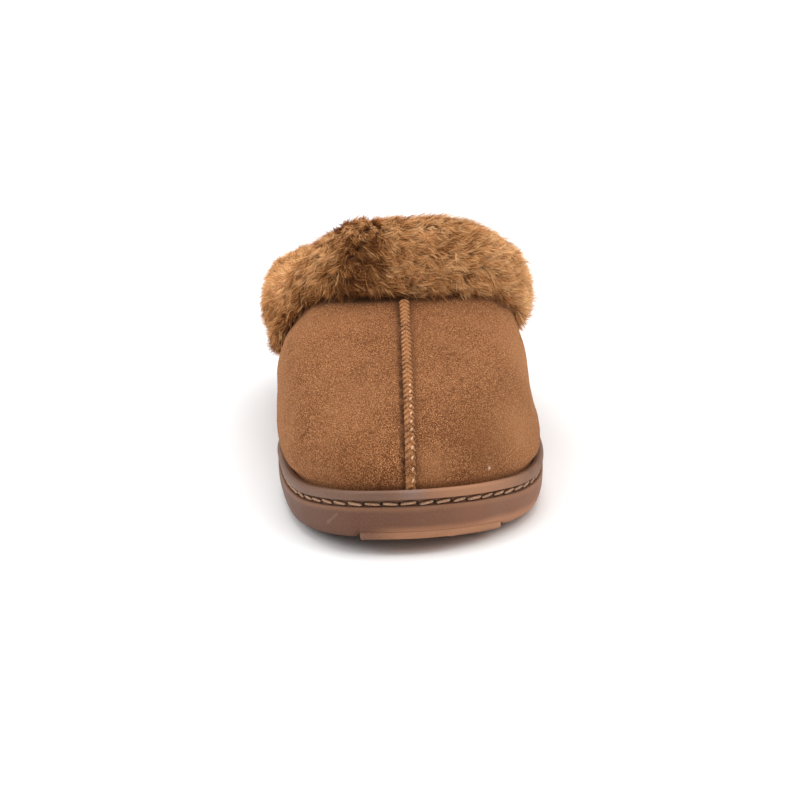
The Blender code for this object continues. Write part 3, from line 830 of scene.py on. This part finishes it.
mesh = bmesh.new()
glint_beads = bmesh.new()
total = cord_runs[-1]
for i in range(int(total / CHEVRON_PITCH) + 1):
    place, upward, normal = on_cord(i * CHEVRON_PITCH)
    across = upward.cross(normal).normalized()
    for side in (-1, 1):
        arm = (across * side - upward * CHEVRON_STEEP).normalized()
        lean = (normal * 0.9 + across * side * 0.5).normalized()
        centre = place + across * side * CHEVRON_ASIDE + normal * CORD_HEIGHT * 0.62
        bead(mesh, centre, arm, lean, CHEVRON_SIZES, 10, 8, 0.9)
    bead(mesh, place + normal * CORD_SEAT, upward, normal, CORE_SIZES, 10, 6, 0.6)
# Painted highlights: small pale beads on the lower half of the cord, a little right of its middle, where
# light catches the plait.
for i in range(int(total * GLINT_SHARE / GLINT_PITCH)):
    place, upward, normal = on_cord(i * GLINT_PITCH + GLINT_START)
    across = upward.cross(normal).normalized()
    knot = place + across * GLINT_ASIDE + normal * CORD_HEIGHT
    bead(glint_beads, knot, (upward + across * GLINT_LEAN).normalized(), normal, GLINT_SIZES)

cord = new_material("Seam cord", (0.32, 0.145, 0.06), 0.9, gloss=0.12, sheen=0.1)
shade = Shade(cord.node_tree)
grain, patch = add_grain(shade, 2400.0, 130.0)
tone = shade.mix(shade.fade(patch, 0.35, 0.65), CORD_DARK, CORD_LIGHT)
tone = shade.mix(shade.fade(grain, 0.48, 0.62, 0.0, 0.75), tone, CORD_FIBRE)
shade.feed(tone, principled(cord)["Base Color"])
shade.feed(shade.bump(grain, 0.0003, 0.8), principled(cord)["Normal"])
seam = wrap(cord, new_object("whipped_seam", mesh))
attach(seam, "root")
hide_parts("center_seam")
# The pale beads' colour is a painted highlight on the seam cord.
glint_paint = new_material("Painted seam glint", (0.74, 0.50, 0.33), 0.6, gloss=0.3)
shade = Shade(glint_paint.node_tree)
_, patch = add_grain(shade, 2400.0, 130.0)
shade.feed(shade.mix(patch, GLINT_DARK, GLINT_LIGHT), principled(glint_paint)["Base Color"])
seam_glint_beads = wrap(glint_paint, new_object("seam_knots", glint_beads))
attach(seam_glint_beads, "root")


# Insole.
# A soft foam footbed under a short plush, a little hollow at the heel and the ball.
PLUSH_DARK = (0.260, 0.125, 0.055)
PLUSH_LIGHT = (0.500, 0.290, 0.150)
PLUSH_SHADE = (0.16, 0.07, 0.03)
FOOTBED_CORNER = 60

plush = new_material("Plush footbed", (0.40, 0.22, 0.11), 0.95, sheen=0.3)
shade = Shade(plush.node_tree)
grain, patch = add_grain(shade, 700.0, 60.0)
tone = shade.mix(patch, PLUSH_DARK, PLUSH_LIGHT)
tone = shade.mix(shade.fade(grain, 0.55, 0.40, 0.0, 0.6), tone, PLUSH_SHADE)
shade.feed(tone, principled(plush)["Base Color"])
shade.feed(shade.bump(grain, 0.0008, 0.8), principled(plush)["Normal"])

mesh = merged_copy("insole")
crease_corners(mesh, FOOTBED_CORNER)
insole = wrap(plush, refined("footbed", mesh))
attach(insole, "root")
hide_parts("insole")


# Fur collar.
# A deep plush fur, sewn to the collar and rolled over it. It parts beside the seam,
# to the right and down to the left, and a thin dark gap stays between it and the suede.
BACKING_VOXEL = 0.0024
BACKING_SINK = 0.0030
BACKING_SMOOTHINGS = 10
SINK_CLEAR = 0.006
SINK_LEAST = 0.2
BACKING_DARK = (0.080, 0.032, 0.012)
BACKING_LIGHT = (0.260, 0.120, 0.045)
LEFT_LOBE = 0.0018
LOBE_SIDE = (0.038, 0.046)
LOBE_DEPTH = (-0.064, -0.056)
FUR_LENGTH = 0.0068
HAIR_WIDTH = 0.00029
HAIR_COUNT = 200_000
HAIR_SEED = 11
HAIR_STRAY = 0.26
HAIR_PULL = 0.42
HAIR_TWIST = 0.9
HAIR_TONE = 0.23
HIDDEN_FUR = 0.0016
TUFT_SPACING = 0.0014
TUFT_BEND = 0.34
MIDDLE_LEAN = (0.38, 0.26, 0.5)
TIP_LEAN = (0.50, 0.72, -0.6)
ROOT_DEPTH = 0.0006
ROOT_SHADE = (0.060, 0.022, 0.007)
PARTING_X = -0.020
PARTING_HEIGHT = 0.091
PARTING_SLANT = 0.45
PARTING_SHADE_TOP = 0.102
PARTING_SHADE_WIDTH = 0.0095
PARTED_WIDTH = 0.007
PARTED_WAY = (0.35, 0, 0.25)
COMB_TURN = 0.012
SWIRL_SIZE = 0.014
CURL_SIZE = 0.005
DRIFT_SIZE = 0.018
SPECK_SIZE = 0.005
COLLAR_MIDDLE = Vector((0.0, 0.046, 0.0))
GAP_LEFT = -0.034
GAP_RIGHT = -0.010
GAP_HEIGHT = 0.0036
FUR_PIECES = ("fur_inner_heel", "fur_inner_front", "fur_outer_front", "fur_outer_heel")


def pile_skin(made, hidden_near, gap):
    """Points, normals and free triangles of a surface, away from one that hides it."""
    data = made.data
    data.calc_loop_triangles()
    corners = np.empty(len(data.loop_triangles) * 3, np.int32)
    data.loop_triangles.foreach_get("vertices", corners)
    corners = corners.reshape(-1, 3)
    points, normals = points_of(data), points_of(data, "normal")
    hits = [hidden_near.find_nearest(Vector(at), gap)[0] for at in points[corners].mean(axis=1)]
    return points, normals, corners[np.array([hit is None for hit in hits])]


def face_means(skin):
    """The middle and the mean normal of each triangle."""
    points, normals, corners = skin
    return points[corners].mean(axis=1), normals[corners].mean(axis=1)


def kept_faces(skin, wanted):
    """The same surface with only the wanted triangles."""
    points, normals, corners = skin
    return points, normals, corners[wanted]


def scatter(rng, skin, count):
    """Random roots over the free triangles, by area, with their normals."""
    points, normals, corners = skin
    first, second, third = (points[corners[:, i]] for i in range(3))
    areas = np.linalg.norm(np.cross(second - first, third - first), axis=1)
    picked = rng.choice(len(corners), count, p=areas / areas.sum())
    shares = rng.random((count, 2))
    over = shares.sum(axis=1) > 1
    shares[over] = 1 - shares[over]
    weights = np.stack([1 - shares.sum(axis=1), shares[:, 0], shares[:, 1]], axis=1)[:, :, None]
    roots = (points[corners[picked]] * weights).sum(axis=1)
    facing = (normals[corners[picked]] * weights).sum(axis=1)
    return roots, facing / np.linalg.norm(facing, axis=1)[:, None], areas.sum() / 2


def unit(vectors):
    """The vectors at a length of one."""
    return vectors / np.maximum(np.linalg.norm(vectors, axis=1), 1e-9)[:, None]


def leaning(lean, facing, way, bend):
    """Step from a root out along its normal, along its lie and aside, by three shares."""
    out, along, aside = lean
    return out * facing + along * way + aside * bend


def grow_hairs(skin, count, length, width, spacing, comb, tone_of, seed):
    """Roots, middles, tips, sides and tones of hairs that gather into tufts."""
    rng = np.random.default_rng(seed)
    roots, facing, area = scatter(rng, skin, count)
    tufts, tuft_facing, _ = scatter(rng, skin, max(8, int(area / spacing**2)))
    tuft_way = comb(tufts, tuft_facing, rng)
    tuft_tone = tone_of(tufts, rng)
    tuft_long = length * rng.uniform(0.75, 1.15, len(tufts))
    tuft_bend = np.cross(tuft_way, tuft_facing)
    tuft_bend *= rng.uniform(-TUFT_BEND, TUFT_BEND, len(tufts))[:, None]
    tree = KDTree(len(tufts))
    for i, tuft in enumerate(tufts):
        tree.insert(tuft, i)
    tree.balance()
    owner = np.array([tree.find(root)[1] for root in roots])
    way = unit(tuft_way[owner] + rng.normal(0, HAIR_STRAY, (count, 3)))
    long = (tuft_long[owner] * rng.uniform(0.7, 1.1, count))[:, None]
    middles = roots + long * leaning(MIDDLE_LEAN, facing, way, tuft_bend[owner])
    tips = roots + long * leaning(TIP_LEAN, facing, way, tuft_bend[owner])
    tuft_reach = leaning(TIP_LEAN, tuft_facing, tuft_way, tuft_bend)
    tuft_tips = tufts + tuft_long[:, None] * tuft_reach
    pull = rng.uniform(0.0, HAIR_PULL, count)[:, None]
    tips += (tuft_tips[owner] - tips) * pull
    middles += (tuft_tips[owner] - tips) * pull * 0.2
    twist = rng.uniform(-HAIR_TWIST, HAIR_TWIST, count)[:, None]
    side = unit(np.cross(way, facing))
    side = unit(side + facing * twist) * width * rng.uniform(0.7, 1.2, count)[:, None]
    tones = np.clip(tuft_tone[owner] + rng.normal(0, HAIR_TONE, count), 0.02, 0.98)
    return roots - facing * ROOT_DEPTH, middles, tips, side, tones


def hair_mesh(name, roots, middles, tips, side, tones):
    """One joined mesh: each hair is a quad and a triangle. U is its tone, V its length."""
    count = len(roots)
    low = (roots - side / 2, roots + side / 2)
    high = (middles + side * 0.4, middles - side * 0.4)
    corners = np.stack([*low, *high, tips], axis=1)
    data = bpy.data.meshes.new(name)
    data.vertices.add(count * 5)
    data.vertices.foreach_set("co", corners.astype(np.float32).ravel())
    order = np.array((0, 1, 2, 3, 3, 2, 4)) + 5 * np.arange(count)[:, None]
    data.loops.add(count * 7)
    data.loops.foreach_set("vertex_index", order.astype(np.int32).ravel())
    starts = np.array((0, 4)) + 7 * np.arange(count)[:, None]
    data.polygons.add(count * 2)
    data.polygons.foreach_set("loop_start", starts.astype(np.int32).ravel())
    data.update(calc_edges=True)
    across = tones[:, None] + np.array((-1, 1, 1, -1, -1, 1, 0)) * 0.012
    along = np.broadcast_to((0.02, 0.02, 0.5, 0.5, 0.5, 0.5, 0.98), (count, 7))
    chart = np.stack([across, along], axis=2)
    layer = data.uv_layers.new(name="OFBake")
    layer.data.foreach_set("uv", chart.astype(np.float32).ravel())
    data.shade_smooth()
    made = bpy.data.objects.new(name, data)
    bpy.context.scene.collection.objects.link(made)
    return made


def smooth_noise(points, size):
    """One smooth random value for each point, changing over a size."""
    return np.array([noise.noise(Vector(point) / size) for point in points])


def noise_vectors(points, size, shifts):
    """Three smooth random values for each point, as a vector."""
    return np.stack([smooth_noise(points + shift, size) for shift in shifts], axis=1)


def flattened(way, facing):
    """Unit directions with the part along the normals taken off."""
    return unit(way - facing * (way * facing).sum(axis=1)[:, None])


def from_parting(tufts):
    """How far each tuft lies to the outer side of the slanting parting."""
    return tufts[:, 0] - (PARTING_X + (tufts[:, 2] - PARTING_HEIGHT) * PARTING_SLANT)


def collar_comb(tufts, facing, rng):
    """Lie of the fur: away from the parting around the collar, and over its roll."""
    radial = tufts - np.array(COLLAR_MIDDLE)
    radial[:, 2] = 0
    radial = unit(radial)
    right = np.tanh(from_parting(tufts) / COMB_TURN)
    around = np.stack([-radial[:, 1], radial[:, 0], np.zeros(len(tufts))], axis=1)
    around *= right[:, None]
    drape = radial * 0.8 - np.array((0, 0, 1.0))
    down = 0.50 - 0.36 * right
    swirl = noise_vectors(tufts, SWIRL_SIZE, (0.0, 0.3, 0.7))
    curl = noise_vectors(tufts, CURL_SIZE, (0.1, 0.4, 0.8))
    by_parting = np.exp(-((from_parting(tufts) / PARTED_WIDTH) ** 2))
    parted = by_parting[:, None] * np.array(PARTED_WAY)
    way = (
        around * 0.9
        + parted
        + drape * down[:, None]
        + swirl * 0.45
        + curl * (0.68 - 0.18 * right[:, None])
        + rng.normal(0, 0.2, tufts.shape)
    )
    return flattened(way, facing)


def collar_tone(tufts, rng):
    """Golden brown with drifts; painted shade in the parting and at the front's lower edge, painted light
    to the right.
    """
    beside = from_parting(tufts)
    left = 0.5 - 0.5 * np.tanh(beside / 0.02)
    drift = smooth_noise(tufts, DRIFT_SIZE) + smooth_noise(tufts + 0.5, SPECK_SIZE)
    drift *= 0.22 + 0.16 * left
    # Painted shade in the valley of the parting, kept off the top of the roll.
    below_top = np.clip((PARTING_SHADE_TOP - tufts[:, 2]) / 0.009, 0, 1)
    parting = np.exp(-((beside / PARTING_SHADE_WIDTH) ** 2)) * (tufts[:, 1] < 0) * below_top
    # Painted shade: the fur is darker along its lower edge at the front, where it hangs over the suede.
    under = np.clip((0.080 - tufts[:, 2]) / 0.008, 0, 1) * (tufts[:, 1] < -0.028)
    # Painted light: the fur is toned darker left of the parting and lighter at the right rim, where more
    # light falls.
    lit_side_tone = 0.72 - 0.255 * left + 0.10 * np.clip((tufts[:, 0] - 0.026) / 0.02, 0, 1)
    return lit_side_tone + drift + rng.normal(0, 0.12, len(tufts)) - 0.60 * parting - 0.10 * under


fur = new_material("Fur", (0.46, 0.245, 0.105), 0.7, gloss=0.18)
shade = Shade(fur.node_tree)
chart = shade.add("SeparateXYZ", shade.add("UVMap", uv_map="OFBake").outputs[0])
tone = shade.ramp(
    chart.outputs[0],
    (0.0, (0.105, 0.029, 0.005)),
    (0.35, (0.445, 0.180, 0.051)),
    (0.6, (0.745, 0.350, 0.122)),
    (1.0, (1.000, 0.620, 0.300)),
)
root_shade = shade.fade(chart.outputs[1], 0.0, 0.8, 0.75, 0.0)
shade.feed(shade.mix(root_shade, tone, ROOT_SHADE), principled(fur)["Base Color"])

felt = new_material("Fur backing", (0.14, 0.06, 0.022), 0.95)
shade = Shade(felt.node_tree)
grain, _ = add_grain(shade, 800.0, 70.0)
shade.feed(shade.mix(grain, BACKING_DARK, BACKING_LIGHT), principled(felt)["Base Color"])
shade.feed(shade.bump(grain, 0.001, 0.8), principled(felt)["Normal"])

backing = new_object("fur_backing", merged_copy("fur_collar"))
remesh = backing.modifiers.new("felt", "REMESH")
remesh.mode = "VOXEL"
remesh.voxel_size = BACKING_VOXEL
graph = bpy.context.evaluated_depsgraph_get()
backing.data = bpy.data.meshes.new_from_object(backing.evaluated_get(graph))
backing.modifiers.clear()
mesh = bmesh.new()
mesh.from_mesh(backing.data)
axes = {"use_axis_x": True, "use_axis_y": True, "use_axis_z": True}
for _ in range(BACKING_SMOOTHINGS):
    bmesh.ops.smooth_vert(mesh, verts=mesh.verts, factor=0.5, **axes)
mesh.to_mesh(backing.data)
mesh.free()
points = points_of(backing.data)
clear = np.array([upper_tree.find_nearest(Vector(point))[3] for point in points])
sink = BACKING_SINK * np.clip(clear / SINK_CLEAR, SINK_LEAST, 1)
at_left = smooth_step(-points[:, 0], *LOBE_SIDE)
sink -= LEFT_LOBE * (at_left * smooth_step(-points[:, 2], *LOBE_DEPTH))
points -= points_of(backing.data, "normal") * sink[:, None]
move_points(backing.data, points)
backing.data.shade_smooth()
wrap(felt, backing)
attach(backing, "root")
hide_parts("fur_collar")

skin = pile_skin(backing, upper_tree, HIDDEN_FUR)
middles, _ = face_means(skin)
lifted = (middles[:, 0] > GAP_LEFT) & (middles[:, 0] < GAP_RIGHT) & (middles[:, 1] < 0)
hits = [upper_tree.find_nearest(Vector(middle), GAP_HEIGHT)[0] for middle in middles]
low = np.array([hit is not None for hit in hits])
skin = kept_faces(skin, ~(lifted & low))
count = HAIR_COUNT
width = HAIR_WIDTH * 1
hairs = grow_hairs(
    skin,
    count,
    FUR_LENGTH,
    width,
    TUFT_SPACING,
    collar_comb,
    collar_tone,
    HAIR_SEED,
)
turn = np.arctan2(hairs[0][:, 0], hairs[0][:, 1] - COLLAR_MIDDLE.y)
for name, part in zip(FUR_PIECES, np.array_split(np.argsort(turn), len(FUR_PIECES))):
    made = hair_mesh(name, *(values[part] for values in hairs))
    wrap(fur, made)
    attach(made, "root")


# Plush pile.
# The lining inside the upper and the footbed carry the same plush, cut short.
PILE_LENGTH = 0.0042
PILE_WIDTH = 0.00045
PILE_COUNT = 30_000
PILE_SPACING = 0.0022
PILE_SEED = 23
HIDDEN_LINING = 0.0012
HIDDEN_FOOTBED = 0.0006
CORE_FRONT = -0.07
CORE_BACK = 0.08
CORE_HEIGHT = 0.03
LINING_TOP = 0.058
LINING_RISE = 0.3
LINING_FRONT = 0.05


def pile_comb(tufts, facing, rng):
    """Lie of the short pile: a little to the heel and up, and mostly at random."""
    way = np.array((0, 0.5, 0.2)) + rng.normal(0, 0.5, tufts.shape)
    return flattened(way, facing)


def pile_tone(tufts, rng):
    """Brown with soft paler patches."""
    return 0.50 + smooth_noise(tufts, 0.012) * 0.3 + rng.normal(0, 0.1, len(tufts))


lined = pile_skin(upper, surface_tree("insole"), HIDDEN_LINING)
middles, outward = face_means(lined)
core = np.zeros((len(middles), 3))
core[:, 1] = np.clip(middles[:, 1], CORE_FRONT, CORE_BACK)
core[:, 2] = CORE_HEIGHT
inside = ((core - middles) * outward).sum(axis=1) > 0
top = LINING_TOP + LINING_RISE * np.clip(-middles[:, 1], 0, LINING_FRONT)
lined = kept_faces(lined, inside & (middles[:, 2] < top))
footbed = pile_skin(insole, upper_tree, HIDDEN_FOOTBED)
footbed = kept_faces(footbed, face_means(footbed)[1][:, 2] > 0.5)
count = PILE_COUNT
piles = (("lining_pile", lined, "collar_fur"), ("footbed_pile", footbed, "footbed_plush"))
for name, skin, slot in piles:
    hairs = grow_hairs(
        skin,
        count,
        PILE_LENGTH,
        PILE_WIDTH,
        PILE_SPACING,
        pile_comb,
        pile_tone,
        PILE_SEED,
    )
    made = wrap(fur, hair_mesh(name, *hairs))
    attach(made, "root")


# Size note.
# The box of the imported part, and the box of all that is drawn around it.
size = {"cad": [list(corner) for corner in cad_box], "visual": [list(corner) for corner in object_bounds()]}
